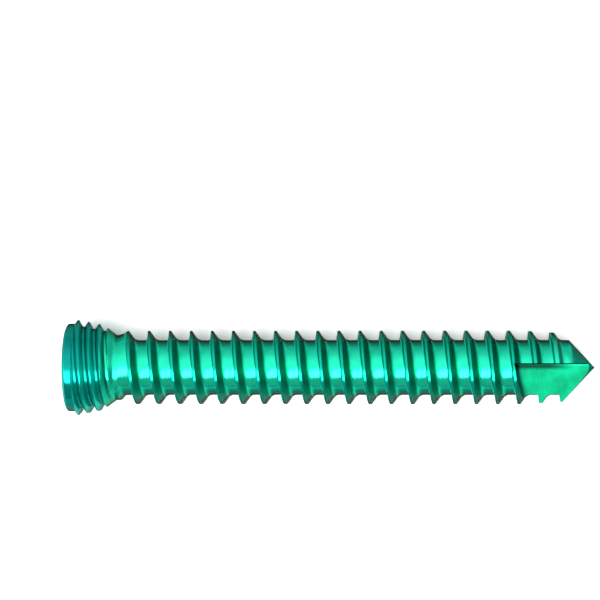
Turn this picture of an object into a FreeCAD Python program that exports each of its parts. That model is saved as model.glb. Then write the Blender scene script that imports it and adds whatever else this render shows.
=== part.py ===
# Locking bone screw, 3.5 mm thread, 25 mm long, turned and milled from one bar.
# Millimetres. The screw's axis is +X from head to tip, and it lies with +Z up.
# The origin is the middle of the head's end face.
import FreeCAD, Part
import math
import os

# Whole screw
screw_length = 25.0
thread_pitch = 1.0

# Head: a plain bevelled rim, then a tapered thread with two starts that locks in a plate
rim_diameter = 4.18
rim_length = 0.45
rim_bevel_width = 0.42
rim_bevel_depth = 0.2
head_thread_diameter = 4.54
head_thread_rise = 0.14
head_taper_angle = 11.3
head_thread_depth = 0.27
head_thread_starts = 2
head_first_crest = 0.6
head_groove_mouth = 0.42
head_root_width = 0.09
head_length = 1.8

# Drive: a hexagon socket with a countersunk mouth and a drilled end
socket_across_flats = 2.5
socket_depth = 1.4
socket_mouth_diameter = 2.9
drill_point_angle = 59.0

# Neck: the head narrows to a waist, where the bone thread begins
neck_angle = 38.0
waist_diameter = 3.1
waist_length = 0.26
waist_rise = 0.3

# Bone thread: the steep flank faces the head and carries the pull, the lean one faces the tip
thread_diameter = 3.5
core_diameter = 2.6
crest_width = 0.1
steep_flank_angle = 5.0
lean_flank_angle = 35.0
steep_root_radius = 0.2
lean_root_radius = 0.35
first_crest_from_waist = 0.28
run_out_turns = 0.5

# Tip: the thread tapers a little, then a pointed cone ends it
lead_in_length = 3.5
lead_in_drop = 0.13
point_half_angle = 47.0

# Two cutting flutes, one the other turned by half a turn
flute_length = 3.8
flute_end_angle = 14.0
flute_floor_height = 0.3
flute_wall_offset = 0.2
flute_corner_radius = 0.1
flute_run_out_radius = 0.35
flute_count = 2

AXIS = FreeCAD.Vector(1, 0, 0)
ORIGIN = FreeCAD.Vector(0, 0, 0)

thread_radius = thread_diameter / 2
core_radius = core_diameter / 2
lead_in_radius = thread_radius - lead_in_drop
head_slope = math.tan(math.radians(head_taper_angle))
head_thread_start = rim_length + head_thread_rise
neck_start_radius = head_thread_diameter / 2 - (head_length - head_thread_start) * head_slope
neck_length = (neck_start_radius - waist_diameter / 2) / math.tan(math.radians(neck_angle))
waist_start = head_length + neck_length
waist_end = waist_start + waist_length
first_crest = waist_end + first_crest_from_waist


def around(x, radius, angle=90.0):
    """The point at this distance along and from the axis. Angles run from +Y towards +Z."""
    turned = math.radians(angle)
    return FreeCAD.Vector(x, radius * math.cos(turned), radius * math.sin(turned))


def head_crest_radius(x):
    """How far the head thread's crest is from the axis at x."""
    return head_thread_diameter / 2 - (x - head_thread_start) * head_slope


def blank():
    """The turned bar before any thread, flute or socket is cut."""
    rim = rim_diameter / 2
    point_length = lead_in_radius / math.tan(math.radians(point_half_angle))
    outline = [
        ORIGIN,
        around(0, rim - rim_bevel_width),
        around(rim_bevel_depth / 3, rim - rim_bevel_width / 3),
        around(rim_bevel_depth, rim),
        around(rim_length, rim),
        around(head_thread_start, head_thread_diameter / 2),
        around(head_length, neck_start_radius),
        around(waist_start, waist_diameter / 2),
        around(waist_end, waist_diameter / 2),
        around(waist_end + waist_rise, thread_radius),
        around(screw_length - lead_in_length, thread_radius),
        around(screw_length - point_length, lead_in_radius),
        around(screw_length, 0),
        ORIGIN,
    ]
    return Part.Face(Part.makePolygon(outline)).revolve(ORIGIN, AXIS, 360)


def helix(start_x, start_angle, turns, radius, lead, cone_angle=0.0):
    """A right-hand helix about the axis, one edge a turn. It narrows towards the tip for a cone angle below 0."""
    path = Part.makeLongHelix(lead, lead * turns, radius, cone_angle)
    path.rotate(ORIGIN, FreeCAD.Vector(0, 1, 0), 90)
    path.rotate(ORIGIN, AXIS, 90 + start_angle)
    path.translate(AXIS * start_x)
    return Part.Wire(path.Edges)


def outline_at(corners, angle, lift=0.0):
    """A cutter's outline in the plane through the axis at this angle, lifted out of the work."""
    points = [around(x, radius + lift, angle) for x, radius in corners]
    return Part.makePolygon(points + points[:1])


def swept(path, outlines):
    """The solid that a cutter takes away along the path, from the first outline to the last."""
    cutter = Part.BRepOffsetAPI.MakePipeShell(path)
    cutter.setBiNormalMode(AXIS)
    for outline in outlines:
        cutter.add(outline)
    cutter.build()
    cutter.makeSolid()
    return cutter.shape()


def bone_groove_corners(crest_x):
    """The groove on the tip side of the crest at crest_x, reaching a little past the bar."""
    clearance = 0.04 * thread_pitch
    steep = math.radians(steep_flank_angle)
    lean = math.radians(lean_flank_angle)
    depth = thread_radius - core_radius
    lean_top = crest_x + crest_width / 2
    steep_top = crest_x + thread_pitch - crest_width / 2
    lean_root = lean_top + depth * math.tan(lean)
    steep_root = steep_top - depth * math.tan(steep)
    lean_blend = lean_root_radius * math.tan(math.radians(45) - lean / 2)
    steep_blend = steep_root_radius * math.tan(math.radians(45) - steep / 2)
    return [
        (lean_top - clearance * math.tan(lean), thread_radius + clearance),
        (lean_root - lean_blend * math.sin(lean), core_radius + lean_blend * math.cos(lean)),
        (lean_root + lean_blend, core_radius),
        (steep_root - steep_blend, core_radius),
        (steep_root + steep_blend * math.sin(steep), core_radius + steep_blend * math.cos(steep)),
        (steep_top + clearance * math.tan(steep), thread_radius + clearance),
    ]


def bone_grooves():
    """The groove between the thread's turns, and its run-out, where the cutter rises out of the waist."""
    full_angle = 360.0 * run_out_turns
    raised_crest = first_crest - thread_pitch
    full_crest = raised_crest + run_out_turns * thread_pitch
    full = outline_at(bone_groove_corners(full_crest), full_angle)
    raised = outline_at(bone_groove_corners(raised_crest), 0.0, thread_radius - core_radius)
    turns = (screw_length - full_crest) / thread_pitch
    to_middle = thread_pitch / 2
    path = helix(full_crest + to_middle, full_angle, turns, core_radius, thread_pitch)
    run_out_path = helix(raised_crest + to_middle, 0.0, run_out_turns, core_radius, thread_pitch)
    return [swept(path, [full]), swept(run_out_path, [raised, full])]


def head_groove_corners(middle):
    """One groove of the head thread, reaching a little past the tapered bar."""
    clearance = 0.1 * head_thread_depth
    flank = (head_groove_mouth - head_root_width) / 2 / head_thread_depth
    half_mouth = head_groove_mouth / 2 + clearance * flank
    corners = []
    for offset, depth in (
        (-half_mouth, -clearance),
        (-head_root_width / 2, head_thread_depth),
        (head_root_width / 2, head_thread_depth),
        (half_mouth, -clearance),
    ):
        corners.append((middle + offset, head_crest_radius(middle + offset) - depth))
    return corners


def head_grooves():
    """The grooves of the head thread, one a start, which run on until the neck's cone ends them."""
    lead = thread_pitch
    spacing = lead / head_thread_starts
    first_root = head_first_crest - spacing / 2
    root_radius = head_crest_radius(rim_length) - head_thread_depth
    corners = head_groove_corners(rim_length)
    turns = (waist_start - rim_length) / lead
    grooves = []
    for start in range(head_thread_starts):
        angle = 360.0 * ((rim_length - first_root) / lead + start / head_thread_starts)
        path = helix(rim_length, angle, turns, root_radius, lead, -head_taper_angle)
        grooves.append(swept(path, [outline_at(corners, angle)]))
    return grooves


def socket():
    """The hexagon socket, its countersunk mouth and the cone that the drill leaves."""
    corner = socket_across_flats / 2 / math.cos(math.radians(30))
    hexagon = [around(0, corner, 30 + 60 * side) for side in range(7)]
    prism = Part.Face(Part.makePolygon(hexagon)).extrude(AXIS * socket_depth)
    drill = socket_across_flats / 2
    point = Part.makeCone(drill, 0, drill / math.tan(math.radians(drill_point_angle)), AXIS * socket_depth, AXIS)
    mouth_radius = socket_mouth_diameter / 2
    mouth = Part.makeCone(mouth_radius, 0, mouth_radius, ORIGIN, AXIS)
    return prism.fuse([point, mouth])


def flute():
    """One cutting flute: a flat floor beside a wall, with the round that the milling cutter leaves."""
    outside = thread_diameter
    flute_start = screw_length - flute_length
    floor_start = flute_start + flute_run_out_radius
    arc_side = flute_run_out_radius * (1 - math.cos(math.radians(45)))
    wall_y = flute_wall_offset
    far_end = screw_length + thread_pitch
    top = FreeCAD.Vector(flute_start, wall_y, outside)
    arc_top = FreeCAD.Vector(flute_start, wall_y, flute_floor_height + flute_run_out_radius)
    arc_middle = FreeCAD.Vector(flute_start + arc_side, wall_y, flute_floor_height + arc_side)
    arc_foot = FreeCAD.Vector(floor_start, wall_y, flute_floor_height)
    floor_end = FreeCAD.Vector(far_end, wall_y, flute_floor_height)
    far_top = FreeCAD.Vector(far_end, wall_y, outside)
    edges = [
        Part.makeLine(top, arc_top),
        Part.Arc(arc_top, arc_middle, arc_foot).toShape(),
        Part.makeLine(arc_foot, floor_end),
        Part.makeLine(floor_end, far_top),
        Part.makeLine(far_top, top),
    ]
    slant = outside * math.tan(math.radians(flute_end_angle))
    cutter = Part.Face(Part.Wire(edges)).extrude(FreeCAD.Vector(slant, -outside, 0))
    corner = [edge for edge in cutter.Edges if is_floor_corner(edge)]
    return cutter.makeFillet(flute_corner_radius, corner)


def is_floor_corner(edge):
    """Whether this edge of the flute's cutter is where the wall meets the floor."""
    return all(
        abs(vertex.Y - flute_wall_offset) < 1e-6 and abs(vertex.Z - flute_floor_height) < 1e-6
        for vertex in edge.Vertexes
    )


def flutes():
    """The flutes, spaced evenly around the axis."""
    first = flute()
    turned = []
    for number in range(flute_count):
        copy = first.copy()
        copy.rotate(ORIGIN, AXIS, 360.0 * number / flute_count)
        turned.append(copy)
    return turned


screw = blank()
for cutter in bone_grooves() + head_grooves() + flutes() + [socket()]:
    screw = screw.cut(cutter)
os.makedirs("parts", exist_ok=True)
screw.exportStep("parts/locking_bone_screw.step")
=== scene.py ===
import math

import bmesh
import bpy
import numpy as np
from mathutils import Matrix, Vector


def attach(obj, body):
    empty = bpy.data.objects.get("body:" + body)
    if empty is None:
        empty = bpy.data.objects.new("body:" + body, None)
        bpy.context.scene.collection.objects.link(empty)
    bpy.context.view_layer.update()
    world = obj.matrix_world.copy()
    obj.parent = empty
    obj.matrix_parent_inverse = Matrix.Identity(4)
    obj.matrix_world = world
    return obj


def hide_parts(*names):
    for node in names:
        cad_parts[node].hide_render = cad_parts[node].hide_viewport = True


MM = 0.001
NODE = "locking_bone_screw"

# The colour sockets of a mix node, whose names serve its other kinds too
MIX_COLOURS_IN = (6, 7)
MIX_COLOUR_OUT = 2

# Whole screw
SCREW_LENGTH = 25.0
THREAD_PITCH = 1.0

# Head
RIM_RADIUS = 2.09
RIM_LENGTH = 0.45
RIM_ROUND_WIDTH = 0.42
RIM_ROUND_DEPTH = 0.2
HEAD_THREAD_RISE = 0.14
HEAD_THREAD_RADIUS = 2.27
HEAD_SLOPE = math.tan(math.radians(11.3))
HEAD_THREAD_DEPTH = 0.27
HEAD_THREAD_STARTS = 2
HEAD_FIRST_CREST = 0.6
HEAD_GROOVE_MOUTH = 0.42
HEAD_ROOT_WIDTH = 0.09
HEAD_LENGTH = 1.8

# Socket
SOCKET_ACROSS_FLATS = 2.5
SOCKET_DEPTH = 1.4
SOCKET_MOUTH_RADIUS = 1.45
DRILL_POINT_ANGLE = math.radians(59.0)

# Neck and waist
NECK_SLOPE = math.tan(math.radians(38.0))
WAIST_RADIUS = 1.55
WAIST_LENGTH = 0.26
WAIST_RISE = 0.3

# Bone thread
THREAD_RADIUS = 1.75
CORE_RADIUS = 1.3
CREST_WIDTH = 0.1
STEEP_FLANK = math.radians(5.0)
LEAN_FLANK = math.radians(35.0)
STEEP_ROOT_ROUND = 0.1  # half of the source's, so that the groove shines right up to the crest
LEAN_ROOT_ROUND = 0.35
FIRST_CREST_FROM_WAIST = 0.28
RUN_OUT_TURNS = 0.5

# Tip
LEAD_IN_LENGTH = 3.5
LEAD_IN_DROP = 0.13
POINT_SLOPE = math.tan(math.radians(47.0))

# Flutes
FLUTE_LENGTH = 3.8
FLUTE_END_SLANT = math.tan(math.radians(14.0))
FLUTE_FLOOR = 0.3
FLUTE_WALL = 0.2
FLUTE_CORNER_ROUND = 0.1
FLUTE_RUN_OUT_ROUND = 0.35
FLUTE_COUNT = 2

# Places that follow from the sizes above
HEAD_THREAD_START = RIM_LENGTH + HEAD_THREAD_RISE
NECK_START_RADIUS = HEAD_THREAD_RADIUS - (HEAD_LENGTH - HEAD_THREAD_START) * HEAD_SLOPE
WAIST_START = HEAD_LENGTH + (NECK_START_RADIUS - WAIST_RADIUS) / NECK_SLOPE
WAIST_END = WAIST_START + WAIST_LENGTH
FIRST_CREST = WAIST_END + FIRST_CREST_FROM_WAIST
LEAD_IN_RADIUS = THREAD_RADIUS - LEAD_IN_DROP
FLUTE_START = SCREW_LENGTH - FLUTE_LENGTH

# Light levels: pairs of degrees about the screw's axis, from straight up towards +Y, and level
ROOM_LEVELS = (
    (-180, 0.4),
    (-95, 0.35),
    (-85, 0.52),
    (-72, 0.63),
    (-45, 0.65),
    (-30, 1.1),
    (5, 1.75),
    (27, 1.65),
    (40, 1.45),
    (54, 1.15),
    (69, 0.92),
    (85, 0.76),
    (100, 0.45),
    (180, 0.4),
)
SOFT_BOX_LEVELS = ((-41.5, 0.0), (-40, 6.5), (-22, 7.5), (-13, 3.2), (-6, 0.6), (5, 0.0))

# Where the soft box ends and the room dims past the tip, on the X and Y of the direction,
# each from none to full
SOFT_BOX_HEAD_END = (-1.0, -0.88)
SOFT_BOX_TIP_END = (0.85, 0.5)
DARK_END_REACH = (0.6, 0.85)
DARK_END_SIDE = (0.1, -0.1)
DARK_END_LEVEL = 0.2

# Floor
FLOOR_REACH = 1500
FLOOR_COLOUR = (0.72, 0.72, 0.72, 1)
FLOOR_METALLIC = 0.95
FLOOR_ROUGHNESS = 0.37

# Camera
CAMERA_PLACE = (19.81, 0.0, 154.0)
CAMERA_AIM = (11.12, 3.191, 0.0)
CAMERA_ANGLE = math.radians(10.506)
CAMERA_SENSOR = 36

# Colours of the oxide film, and of the painted light and shade laid on it
TURNED_FILM = ((0.008, 0.54, 0.32, 1), (0.013, 0.64, 0.39, 1))
MILLED_FILM = ((0.0, 0.21, 0.09, 1), (0.001, 0.33, 0.16, 1))
# Painted shade: a darker film on the crests of the bone thread, dimming the glint they catch
PAINTED_CREST_SHADE = (0.0, 0.36, 0.24, 1)
# Painted shade: a darker film where the surface faces the sides, towards +Y or -Y
PAINTED_SIDE_SHADE = (0.0, 0.17, 0.13, 1)
# Painted light: a lighter film on surfaces that face the head
PAINTED_HEADWARD_LIGHT = (0.006, 0.66, 0.44, 1)
# Painted shade: a darker film on surfaces that face the tip
PAINTED_TIPWARD_SHADE = (0.0, 0.17, 0.12, 1)
HEAD_FILM = (0.0, 0.25, 0.21, 1)
# Painted light: a lighter film on the flanks of the head's grooves, lifting the shade in them
PAINTED_HEAD_GROOVE_LIGHT = (0.0, 0.38, 0.31, 1)
# Painted shade: a near-black film in the corner between each flute's floor and wall
PAINTED_FLUTE_CORNER_SHADE = (0.0, 0.035, 0.018, 1)

# Where those colours begin and are full, on the X or Y of the surface's direction
SIDEWAYS = (0.6, 0.9)
HEADWARD = (-0.3, -0.65)
TIPWARD = (0.5, 0.76)
FLANK = (0.4, 0.65)
END_FACE = (-0.9, -0.97)

# And by place, in millimetres from the head's end face, from the axis and from the flute's middle
HEAD_FILM_END = (2.0, 1.7)
PAINTED_CREST_SHADE_RADII = (1.64, 1.73)
FLUTE_CORNER_SHADE_REACH = (-0.16, 0.05)
FLUTE_CORNER_SHADE_END = (24.2, 22.8)

# Finish: the film's dark edge, its gloss, the sizes and roughness of its tool lines, and their relief
FILM_EDGE = (0.0, 0.03, 0.03, 1)
GLOSS_WEIGHT = 0.07
GLOSS_ROUGHNESS = 0.15
GLOSS_IOR = 1.6
TURNED_LINES = (0.03, 1.2, 1.2)
TURNED_ROUGHNESS = (0.12, 0.2)
MILLED_LINES = (0.07, 0.6, 0.6)
MILLED_ROUGHNESS = (0.24, 0.34)
FLANK_ROUGHER = 0.22
CLOUD_SIZE = (0.9, 0.9, 0.9)
GRAIN_SIZE = (0.05, 0.05, 0.05)
GRAIN_SHARE = 0.3
RELIEF_STRENGTH = 0.2
RELIEF_DEPTH = 0.004

# Mesh: points round the axis, the round of every edge, and where the rows of the head and thread end
COLUMNS = 96
EDGE_ROUND = 0.03
HEAD_END = 2.3
THREAD_END = 23.95
SHARP_ANGLE = math.radians(32)


def smooth_min(first, second):
    """The lower of two radii, with the corner where they meet rounded off."""
    overlap = np.maximum(EDGE_ROUND - np.abs(first - second), 0.0)
    return np.minimum(first, second) - overlap**2 / (4 * EDGE_ROUND)


def blank_radius(x):
    """Radius of the turned bar before any thread is cut, from the rim to the point."""
    outline = [
        (RIM_LENGTH, RIM_RADIUS),
        (HEAD_THREAD_START, HEAD_THREAD_RADIUS),
        (HEAD_LENGTH, NECK_START_RADIUS),
        (WAIST_START, WAIST_RADIUS),
        (WAIST_END, WAIST_RADIUS),
        (WAIST_END + WAIST_RISE, THREAD_RADIUS),
        (SCREW_LENGTH - LEAD_IN_LENGTH, THREAD_RADIUS),
        (SCREW_LENGTH - LEAD_IN_RADIUS / POINT_SLOPE, LEAD_IN_RADIUS),
        (SCREW_LENGTH, 0.0),
    ]
    places, radii = zip(*outline)
    return np.interp(x, places, radii)


def root_round(corner, flank, radius, towards_floor, steps):
    """The arc that blends a flank into the groove's floor, from the flank down to the floor."""
    centre = corner + towards_floor * radius * math.tan(math.pi / 4 - flank / 2)
    points = []
    for step in range(steps + 1):
        turned = (math.pi / 2 - flank) * (1 - step / steps)
        points.append((
            centre - towards_floor * radius * math.sin(turned),
            CORE_RADIUS + radius * (1 - math.cos(turned)),
        ))
    return points


def thread_profile():
    """One pitch of the bone thread, from crest to crest: distances along the axis and radii."""
    depth = THREAD_RADIUS - CORE_RADIUS
    lean_top = CREST_WIDTH / 2
    steep_top = THREAD_PITCH - CREST_WIDTH / 2
    lean_root = lean_top + depth * math.tan(LEAN_FLANK)
    steep_root = steep_top - depth * math.tan(STEEP_FLANK)
    lean_round = root_round(lean_root, LEAN_FLANK, LEAN_ROOT_ROUND, 1, 6)
    steep_round = root_round(steep_root, STEEP_FLANK, STEEP_ROOT_ROUND, -1, 7)
    top = [(lean_top, THREAD_RADIUS)]
    return np.array(top + lean_round + steep_round[::-1] + [(steep_top, THREAD_RADIUS)])


def bone_groove_radius(x, angle):
    """Where the bone thread's cutter reaches at this place. It rises out of the bar at the run-out."""
    places, radii = thread_profile().T
    turns = (x - FIRST_CREST) / THREAD_PITCH - angle / (2 * math.pi)
    number = np.floor(turns)
    reach = np.interp((turns - number) * THREAD_PITCH, places, radii)
    travelled = number + angle / (2 * math.pi) + 1
    raised = (1 - np.clip(travelled / RUN_OUT_TURNS, 0, 1)) * (THREAD_RADIUS - CORE_RADIUS)
    outside = HEAD_THREAD_RADIUS + 1
    return np.where(travelled < 0, outside, reach + raised)


def head_groove_radius(x, angle):
    """Where the head thread's cutters reach at this place. They fade in from the rim."""
    spacing = THREAD_PITCH / HEAD_THREAD_STARTS
    first_root = HEAD_FIRST_CREST - spacing / 2
    turns = (x - first_root) / spacing - angle / (2 * math.pi) * HEAD_THREAD_STARTS
    from_root = np.abs(turns - np.round(turns)) * spacing
    root = x - (turns - np.round(turns)) * spacing
    flank = HEAD_THREAD_DEPTH / ((HEAD_GROOVE_MOUTH - HEAD_ROOT_WIDTH) / 2)
    bottom = HEAD_THREAD_RADIUS - (x - HEAD_THREAD_START) * HEAD_SLOPE - HEAD_THREAD_DEPTH
    raised = np.maximum(RIM_LENGTH - root, 0.0)
    return bottom + raised + np.maximum(from_root - HEAD_ROOT_WIDTH / 2, 0.0) * flank


def screw_radius(x, angle):
    """The screw's radius at this distance along the axis and angle round it, flutes left out."""
    cut = smooth_min(blank_radius(x), bone_groove_radius(x, angle))
    return np.where(x < HEAD_END, smooth_min(cut, head_groove_radius(x, angle)), cut)


def thread_rows():
    """Row places within one pitch of the bone thread, closest where its outline turns."""
    places = thread_profile()[:, 0]
    land = CREST_WIDTH / 2
    lean_flank = np.linspace(places[0], places[1], 5)[1:-1]
    steep_flank = np.linspace(places[-2], places[-1], 4)[1:-1]
    shoulders = [0.0, land / 2, land * 0.85, land * 1.2, THREAD_PITCH - land / 2]
    return np.unique(np.concatenate([places, lean_flank, steep_flank, shoulders])) + FIRST_CREST


def head_rows():
    """Row places within one spacing of the head thread."""
    spacing = THREAD_PITCH / HEAD_THREAD_STARTS
    land = (spacing - HEAD_GROOVE_MOUTH) / 2
    root = HEAD_ROOT_WIDTH / 2
    half = [0.0, land * 0.7, land, land * 1.3]
    half += list(np.linspace(land * 1.3, spacing / 2 - root, 6)[1:])
    offsets = half + [spacing / 2] + [spacing - offset for offset in half[:0:-1]]
    return np.array(offsets) + HEAD_FIRST_CREST


def helical_rows(offsets, spacing, low, high):
    """Rows that follow the helix, pressed into the stretch from low to high."""
    angles = np.linspace(0, 2 * math.pi, COLUMNS + 1)
    advance = THREAD_PITCH * angles / (2 * math.pi)
    first = math.floor((low - offsets[0] - THREAD_PITCH) / spacing)
    last = math.ceil((high - offsets[0]) / spacing)
    rows = []
    for number in range(first, last + 1):
        for offset in offsets:
            along = np.clip(offset + number * spacing + advance, low, high)
            rows.append(np.stack([along, screw_radius(along, angles)]))
    return rows


def plain_rows(outline):
    """Rows that lie square to the axis, from pairs of place and radius."""
    ones = np.ones(COLUMNS + 1)
    return [np.stack([x * ones, radius * ones]) for x, radius in outline]


def rim_rows():
    """The end face and the rounded rim."""
    inner = RIM_RADIUS - RIM_ROUND_WIDTH
    outline = [(0.0, 0.0), (0.0, SOCKET_MOUTH_RADIUS * 0.5), (0.0, inner * 0.97)]
    for step in range(11):
        turned = math.pi / 2 * step / 10
        outline.append((
            RIM_ROUND_DEPTH * (1 - math.cos(turned)),
            inner + RIM_ROUND_WIDTH * math.sin(turned),
        ))
    outline.append((RIM_LENGTH * 0.75, RIM_RADIUS))
    return plain_rows(outline)


def point_rows():
    """The cone of the point."""
    places = np.linspace(THREAD_END, SCREW_LENGTH, 8)
    return plain_rows([(x, float(blank_radius(x))) for x in places])


def mesh_of(points, faces):
    """A welded mesh from points in millimetres."""
    shape = bmesh.new()
    corners = [shape.verts.new(Vector(point) * MM) for point in points]
    for face in faces:
        shape.faces.new([corners[number] for number in face])
    bmesh.ops.remove_doubles(shape, verts=shape.verts, dist=2e-7)
    bmesh.ops.dissolve_degenerate(shape, edges=shape.edges, dist=1e-8)
    bmesh.ops.recalc_face_normals(shape, faces=shape.faces)
    mesh = bpy.data.meshes.new("mesh")
    shape.to_mesh(mesh)
    shape.free()
    return mesh


def lathe_mesh(rows):
    """The closed surface through the rows, end face to point."""
    angles = np.linspace(0, 2 * math.pi, COLUMNS + 1)
    points = []
    for along, radius in rows:
        points += list(zip(along, radius * np.cos(angles), radius * np.sin(angles)))
    width = COLUMNS + 1
    faces = []
    for row in range(len(rows) - 1):
        # Rows pressed together where a helix ends leave no face between them
        if np.allclose(rows[row], rows[row + 1], atol=1e-9):
            continue
        for column in range(COLUMNS):
            corner = row * width + column
            faces.append((corner, corner + 1, corner + 1 + width, corner + width))
    return mesh_of(points, faces)


def loft_mesh(loops):
    """A closed mesh through loops of points, with its two ends capped."""
    size = len(loops[0])
    points = [point for loop in loops for point in loop]
    faces = [tuple(range(size)), tuple(range(len(points) - size, len(points)))]
    for loop in range(len(loops) - 1):
        for side in range(size):
            corner = loop * size + side
            beside = loop * size + (side + 1) % size
            faces.append((corner, beside, beside + size, corner + size))
    return mesh_of(points, faces)


def ring(x, radius, sides, start=0.0):
    """A loop of points round the axis."""
    turned = [start + 2 * math.pi * side / sides for side in range(sides)]
    return [(x, radius * math.cos(angle), radius * math.sin(angle)) for angle in turned]


def socket_cutters():
    """The hexagon, the drill's cone at its bottom and the countersunk mouth."""
    outside = -0.5
    corner = SOCKET_ACROSS_FLATS / 2 / math.cos(math.pi / 6)
    hexagon = [ring(x, corner, 6, math.pi / 6) for x in (outside, SOCKET_DEPTH)]
    drill = SOCKET_ACROSS_FLATS / 2
    drill_depth = drill / math.tan(DRILL_POINT_ANGLE)
    cone = [ring(SOCKET_DEPTH - 0.05, drill, COLUMNS), ring(SOCKET_DEPTH, drill, COLUMNS)]
    cone.append(ring(SOCKET_DEPTH + drill_depth, 1e-3, COLUMNS))
    mouth = [ring(outside, SOCKET_MOUTH_RADIUS - outside, COLUMNS)]
    mouth.append(ring(SOCKET_MOUTH_RADIUS - drill * 0.9, drill * 0.9, COLUMNS))
    return [loft_mesh(loops) for loops in (hexagon, cone, mouth)]


def flute_cutter(turned):
    """One cutting flute: floor, wall, the round between them and the round where the cutter rose."""
    outside = 2 * THREAD_RADIUS
    loops = []
    for step in range(13):
        rise = math.pi / 2 * (1 - step / 12)
        x = FLUTE_START + FLUTE_RUN_OUT_ROUND * (1 - math.sin(rise))
        floor = FLUTE_FLOOR + FLUTE_RUN_OUT_ROUND * (1 - math.cos(rise))
        loops.append(flute_section(x, floor, outside))
    loops.append(flute_section(SCREW_LENGTH + 1, FLUTE_FLOOR, outside))
    cos, sin = math.cos(turned), math.sin(turned)
    return loft_mesh([[(x, y * cos - z * sin, y * sin + z * cos) for x, y, z in loop] for loop in loops])


def flute_section(x, floor, outside):
    """The flute's outline at one place, with its floor at this height, slanted as the flute's end is."""
    section = [(-outside, outside), (-outside, floor)]
    for step in range(9):
        swing = math.pi / 2 * step / 8
        section.append((
            FLUTE_WALL - FLUTE_CORNER_ROUND * (1 - math.sin(swing)),
            floor + FLUTE_CORNER_ROUND * (1 - math.cos(swing)),
        ))
    section.append((FLUTE_WALL, outside))
    return [(x + (FLUTE_WALL - y) * FLUTE_END_SLANT, y, z) for y, z in section]


def place(mesh, name):
    """An object for this mesh, in the scene."""
    made = bpy.data.objects.new(name, mesh)
    bpy.context.scene.collection.objects.link(made)
    return made


def cut_away(screw, mesh):
    """Takes the cutter's shape out of the screw. The cut faces keep the cutter's material."""
    cutter = place(mesh, "cutter")
    cut = screw.modifiers.new("cut", "BOOLEAN")
    cut.operation = "DIFFERENCE"
    cut.solver = "EXACT"
    cut.material_mode = "TRANSFER"
    cut.object = cutter
    evaluated = screw.evaluated_get(bpy.context.evaluated_depsgraph_get())
    finished = bpy.data.meshes.new_from_object(evaluated)
    screw.modifiers.clear()
    screw.data = finished
    bpy.data.objects.remove(cutter)


def make_screw():
    """The whole screw as one mesh."""
    rows = rim_rows()
    rows += helical_rows(head_rows(), THREAD_PITCH / HEAD_THREAD_STARTS, RIM_LENGTH, HEAD_END)
    rows += helical_rows(thread_rows(), THREAD_PITCH, HEAD_END, THREAD_END)
    rows += point_rows()
    screw = place(lathe_mesh(rows), "screw_body")
    screw.data.materials.append(turned_titanium())
    milled = milled_titanium()
    flutes = [flute_cutter(2 * math.pi * number / FLUTE_COUNT) for number in range(FLUTE_COUNT)]
    for mesh in socket_cutters() + flutes:
        mesh.materials.append(milled)
        cut_away(screw, mesh)
    screw.data.shade_smooth()
    screw.data.set_sharp_from_angle(angle=SHARP_ANGLE)
    return screw


def add(tree, kind, **values):
    """A shader node with some of its own settings."""
    made = tree.nodes.new(kind)
    for name, value in values.items():
        setattr(made, name, value)
    return made


def noise(tree, source, scale, detail):
    """A noise texture at the source's coordinates. The scale is a size in millimetres for each axis."""
    stretched = add(tree, "ShaderNodeMapping")
    stretched.inputs["Scale"].default_value = [1 / (size * MM) for size in scale]
    tree.links.new(source, stretched.inputs["Vector"])
    made = add(tree, "ShaderNodeTexNoise")
    made.inputs["Scale"].default_value = 1.0
    made.inputs["Detail"].default_value = detail
    tree.links.new(stretched.outputs["Vector"], made.inputs["Vector"])
    return made.outputs["Fac"]


def ranged(tree, source, low, high, to_low=0.0, to_high=1.0):
    """The source's stretch from low to high, eased onto another stretch."""
    made = add(tree, "ShaderNodeMapRange", interpolation_type="SMOOTHSTEP")
    for name, value in (("From Min", low), ("From Max", high), ("To Min", to_low), ("To Max", to_high)):
        made.inputs[name].default_value = value
    tree.links.new(source, made.inputs["Value"])
    return made.outputs["Result"]


def share(tree, source, stretch):
    """0 at one end of the stretch and 1 at the other, whichever way it runs."""
    low, high = sorted(stretch)
    ends = (0.0, 1.0) if stretch[0] == low else (1.0, 0.0)
    return ranged(tree, source, low, high, *ends)


def in_metres(stretch):
    """A stretch in millimetres, as the frame has it."""
    return tuple(end * MM for end in stretch)


def joined(tree, operation, *sources):
    """A sum, product or other result of sockets or numbers."""
    made = add(tree, "ShaderNodeMath", operation=operation)
    for number, source in enumerate(sources):
        if isinstance(source, (int, float)):
            made.inputs[number].default_value = source
        else:
            tree.links.new(source, made.inputs[number])
    return made.outputs["Value"]


def mixed(tree, amount, first, second):
    """A colour between two colours or sockets."""
    made = add(tree, "ShaderNodeMix", data_type="RGBA")
    tree.links.new(amount, made.inputs["Factor"])
    for number, source in zip(MIX_COLOURS_IN, (first, second)):
        if isinstance(source, tuple):
            made.inputs[number].default_value = source
        else:
            tree.links.new(source, made.inputs[number])
    return made.outputs[MIX_COLOUR_OUT]


def parts_of(tree, vector):
    """The X, Y and Z of a vector."""
    parts = add(tree, "ShaderNodeSeparateXYZ")
    tree.links.new(vector, parts.inputs["Vector"])
    return parts.outputs


def head_share(tree, coordinates):
    """1 on the threaded head, which took a darker, bluer film, and 0 from the neck on."""
    place_on = parts_of(tree, coordinates.outputs["Object"])
    return share(tree, place_on["X"], in_metres(HEAD_FILM_END))


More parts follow.
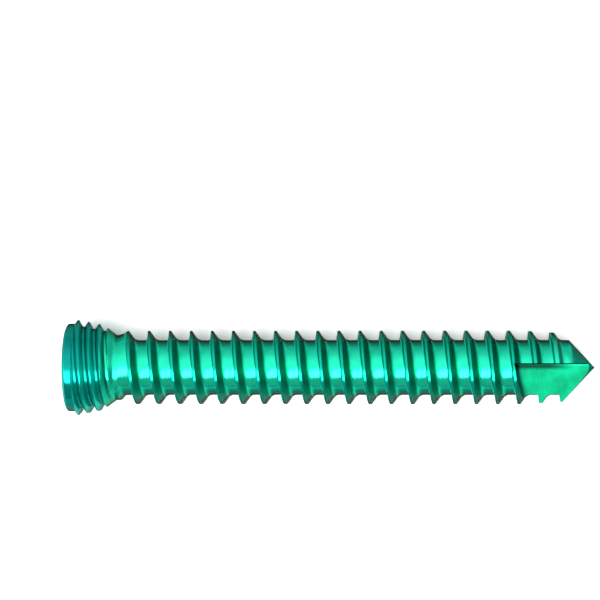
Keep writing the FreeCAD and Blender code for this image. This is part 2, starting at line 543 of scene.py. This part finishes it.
def painted_crest_shade_share(tree, coordinates):
    """1 on the crests of the bone thread, where painted shade darkens them, and 0 in its groove and on
    the head.
    """
    place_on = parts_of(tree, coordinates.outputs["Object"])
    squares = [joined(tree, "MULTIPLY", place_on[axis], place_on[axis]) for axis in ("Y", "Z")]
    radius = joined(tree, "SQRT", joined(tree, "ADD", *squares))
    past_head = joined(tree, "GREATER_THAN", place_on["X"], WAIST_START * MM)
    return joined(tree, "MULTIPLY", share(tree, radius, in_metres(PAINTED_CREST_SHADE_RADII)), past_head)


def bar_film_with_painted_shading(tree, film, coordinates, facing):
    """The film on the bar, with painted shade on the crests, at the sides and on the tip-side flanks,
    and painted light on the head-side flanks.
    """
    sideways = joined(tree, "ABSOLUTE", facing["Y"])
    # Painted shade on the crests
    film = mixed(tree, painted_crest_shade_share(tree, coordinates), film, PAINTED_CREST_SHADE)
    # Painted shade where the surface faces the sides
    film = mixed(tree, share(tree, sideways, SIDEWAYS), film, PAINTED_SIDE_SHADE)
    # Painted light on the head-facing flanks
    film = mixed(tree, share(tree, facing["X"], HEADWARD), film, PAINTED_HEADWARD_LIGHT)
    # Painted shade on the tip-facing flanks
    return mixed(tree, share(tree, facing["X"], TIPWARD), film, PAINTED_TIPWARD_SHADE)


def head_film_and_painted_light(tree, facing, flank):
    """The film on the threaded head, with painted light on the flanks of its grooves."""
    in_groove = joined(tree, "SUBTRACT", flank, share(tree, facing["X"], END_FACE))
    # Painted light on the groove flanks
    return mixed(tree, in_groove, HEAD_FILM, PAINTED_HEAD_GROOVE_LIGHT)


def oxide_film(name, colours, line_size, roughness):
    """Anodised titanium whose film wanders between two colours, with fine tool lines."""
    material = bpy.data.materials.new(name)
    material.use_nodes = True
    tree = material.node_tree
    link = tree.links.new
    shader = tree.nodes["Principled BSDF"]
    shader.inputs["Metallic"].default_value = 1.0
    shader.inputs["Specular Tint"].default_value = FILM_EDGE
    shader.inputs["Coat Weight"].default_value = GLOSS_WEIGHT
    shader.inputs["Coat Roughness"].default_value = GLOSS_ROUGHNESS
    shader.inputs["Coat IOR"].default_value = GLOSS_IOR

    coordinates = add(tree, "ShaderNodeTexCoord")
    place_on = coordinates.outputs["Object"]
    lines = noise(tree, place_on, line_size, 3.0)
    clouds = noise(tree, place_on, CLOUD_SIZE, 4.0)
    grain = noise(tree, place_on, GRAIN_SIZE, 2.0)

    facing = parts_of(tree, coordinates.outputs["Normal"])
    flank = share(tree, joined(tree, "ABSOLUTE", facing["X"]), FLANK)
    film = mixed(tree, ranged(tree, clouds, 0.3, 0.7), *colours)
    # The film, then painted light and shade on the bar and in the head's grooves
    film = bar_film_with_painted_shading(tree, film, coordinates, facing)
    film = mixed(tree, head_share(tree, coordinates), film, head_film_and_painted_light(tree, facing, flank))
    link(film, shader.inputs["Base Color"])
    polish = ranged(tree, lines, 0.25, 0.75, *roughness)
    link(joined(tree, "MULTIPLY_ADD", flank, FLANK_ROUGHER, polish), shader.inputs["Roughness"])

    relief = add(tree, "ShaderNodeBump")
    relief.inputs["Strength"].default_value = RELIEF_STRENGTH
    relief.inputs["Distance"].default_value = RELIEF_DEPTH * MM
    height = joined(tree, "ADD", lines, joined(tree, "MULTIPLY", grain, GRAIN_SHARE))
    link(height, relief.inputs["Height"])
    link(relief.outputs["Normal"], shader.inputs["Normal"])
    return material


def turned_titanium():
    """The turned bar: green, bright, with lines round the axis."""
    return oxide_film("anodised_titanium", TURNED_FILM, TURNED_LINES, TURNED_ROUGHNESS)


def flute_corner_shade_share(tree):
    """1 in the corner between a flute's floor and its wall, where painted shade darkens it, and 0 away
    from it and in the socket.
    """
    coordinates = add(tree, "ShaderNodeTexCoord")
    place_on = parts_of(tree, coordinates.outputs["Object"])
    facing = parts_of(tree, coordinates.outputs["Normal"])
    towards_wall = joined(tree, "MULTIPLY", place_on["Y"], facing["Z"])
    beside_wall = share(tree, towards_wall, in_metres(FLUTE_CORNER_SHADE_REACH))
    short_of_point = share(tree, place_on["X"], in_metres(FLUTE_CORNER_SHADE_END))
    past_socket = joined(tree, "GREATER_THAN", place_on["X"], FLUTE_START * MM)
    return joined(tree, "MULTIPLY", joined(tree, "MULTIPLY", beside_wall, short_of_point), past_socket)


def milled_titanium():
    """The milled flutes and the socket: greener and more matt, with painted shade in the flutes'
    corners.
    """
    material = oxide_film("milled_titanium", MILLED_FILM, MILLED_LINES, MILLED_ROUGHNESS)
    tree = material.node_tree
    base = tree.nodes["Principled BSDF"].inputs["Base Color"]
    film = base.links[0].from_socket
    # Painted shade in the flutes' corners
    tree.links.new(mixed(tree, flute_corner_shade_share(tree), film, PAINTED_FLUTE_CORNER_SHADE), base)
    return material


def resting_line(mesh):
    """Height and slope of the floor that the lying screw touches at its head and near its tip."""
    corners = np.empty(len(mesh.vertices) * 3)
    mesh.vertices.foreach_get("co", corners)
    x, z = corners.reshape(-1, 3)[:, 0], corners.reshape(-1, 3)[:, 2]
    middle = SCREW_LENGTH / 2 * MM
    near, far = x < middle, x >= middle
    slope = 0.0
    for _ in range(8):
        head = np.argmin(np.where(near, z - slope * x, np.inf))
        tip = np.argmin(np.where(far, z - slope * x, np.inf))
        slope = (z[tip] - z[head]) / (x[tip] - x[head])
    return z[head] - slope * x[head], slope


def make_floor(height, slope):
    """A plain, pale, satin floor under the screw."""
    floor = place(bpy.data.meshes.new("floor"), "floor")
    reach = FLOOR_REACH * MM
    ends = ((-reach, -reach), (reach, -reach), (reach, reach), (-reach, reach))
    floor.data.from_pydata([(x, y, height + slope * x) for x, y in ends], [], [(0, 1, 2, 3)])
    material = bpy.data.materials.new("white_floor")
    material.use_nodes = True
    shader = material.node_tree.nodes["Principled BSDF"]
    shader.inputs["Base Color"].default_value = FLOOR_COLOUR
    shader.inputs["Metallic"].default_value = FLOOR_METALLIC
    shader.inputs["Roughness"].default_value = FLOOR_ROUGHNESS
    floor.data.materials.append(material)


def level_ramp(tree, about, levels):
    """Light levels by direction about the screw's axis, in degrees from straight up towards +Y."""
    top = max(level for _, level in levels)
    ramp = add(tree, "ShaderNodeValToRGB")
    elements = ramp.color_ramp.elements
    while len(elements) < len(levels):
        elements.new(0.5)
    for element, (degrees, level) in zip(elements, levels):
        element.position = (degrees + 180) / 360
        element.color = (level / top, level / top, level / top, 1)
    tree.links.new(about, ramp.inputs["Fac"])
    return joined(tree, "MULTIPLY", ramp.outputs["Color"], top)


def make_room():
    """A plain room, dimmer past the tip, and above the screw a soft box with one sharp edge."""
    world = bpy.data.worlds.new("room")
    bpy.context.scene.world = world
    world.use_nodes = True
    tree = world.node_tree
    direction = parts_of(tree, add(tree, "ShaderNodeTexCoord").outputs["Generated"])
    angle = joined(tree, "ARCTAN2", direction["Y"], direction["Z"])
    about = joined(tree, "ADD", joined(tree, "DIVIDE", angle, 2 * math.pi), 0.5)
    room = level_ramp(tree, about, ROOM_LEVELS)
    box = level_ramp(tree, about, SOFT_BOX_LEVELS)
    past_head = share(tree, direction["X"], SOFT_BOX_HEAD_END)
    short_of_tip = share(tree, direction["X"], SOFT_BOX_TIP_END)
    box = joined(tree, "MULTIPLY", joined(tree, "MULTIPLY", box, past_head), short_of_tip)
    past_tip = share(tree, direction["X"], DARK_END_REACH)
    dark_end = joined(tree, "MULTIPLY", past_tip, share(tree, direction["Y"], DARK_END_SIDE))
    dimmed = joined(tree, "SUBTRACT", 1.0, joined(tree, "MULTIPLY", dark_end, 1 - DARK_END_LEVEL))
    room = joined(tree, "MULTIPLY", room, dimmed)
    level = joined(tree, "ADD", room, box)
    background = tree.nodes["Background"]
    background.inputs["Color"].default_value = (1, 1, 1, 1)
    tree.links.new(level, background.inputs["Strength"])


def make_camera():
    """The camera above the screw, a little towards its tip, with +Y up in the picture."""
    data = bpy.data.cameras.new("camera")
    camera = bpy.data.objects.new("camera", data)
    bpy.context.scene.collection.objects.link(camera)
    camera.location = Vector(CAMERA_PLACE) * MM
    back = (camera.location - Vector(CAMERA_AIM) * MM).normalized()
    right = Vector((0, 1, 0)).cross(back).normalized()
    camera.rotation_euler = Matrix((right, back.cross(right), back)).transposed().to_euler()
    data.sensor_width = CAMERA_SENSOR
    data.lens = CAMERA_SENSOR / 2 / math.tan(CAMERA_ANGLE / 2)
    data.clip_start = 0.001
    data.clip_end = 10
    bpy.context.scene.camera = camera


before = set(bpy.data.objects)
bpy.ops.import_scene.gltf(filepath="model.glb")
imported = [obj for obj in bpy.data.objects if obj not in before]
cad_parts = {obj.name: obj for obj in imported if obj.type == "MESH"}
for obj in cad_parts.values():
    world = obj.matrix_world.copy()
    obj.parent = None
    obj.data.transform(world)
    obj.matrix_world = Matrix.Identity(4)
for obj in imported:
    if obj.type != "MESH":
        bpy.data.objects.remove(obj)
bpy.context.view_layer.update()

screw = make_screw()
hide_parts(NODE)
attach(screw, "root")

make_floor(*resting_line(screw.data))
make_room()
make_camera()

bpy.context.scene.view_settings.view_transform = "Standard"
